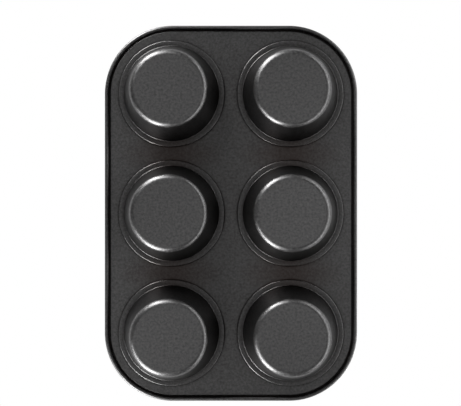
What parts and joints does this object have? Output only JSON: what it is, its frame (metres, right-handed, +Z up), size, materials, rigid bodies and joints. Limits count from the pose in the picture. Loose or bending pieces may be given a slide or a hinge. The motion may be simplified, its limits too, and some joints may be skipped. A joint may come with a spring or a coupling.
{
  "type": "muffin pan",
  "caption": "Dark non-stick steel muffin pan: tapered round cups lock-seamed into a flat rounded deck with a wired rolled rim, for baking muffins.",
  "frame": {"origin": "middle of the pan, on the plane that the cup floors stand on", "axes": "+Z up, out of the open cups; +Y along the pan's length; +X across its width"},
  "size_m": [0.185, 0.275, 0.0311],
  "materials": {
    "nonstick_coat": "satin charcoal non-stick coat on steel sheet",
    "wire_steel": "bare drawn steel wire"
  },
  "bodies": {
    "root": {"deck_sheet": "nonstick_coat", "rim_wire": "wire_steel", "cup_front_left": "nonstick_coat", "cup_front_right": "nonstick_coat", "cup_middle_left": "nonstick_coat", "cup_middle_right": "nonstick_coat", "cup_back_left": "nonstick_coat", "cup_back_right": "nonstick_coat"}
  },
  "joints": []
}
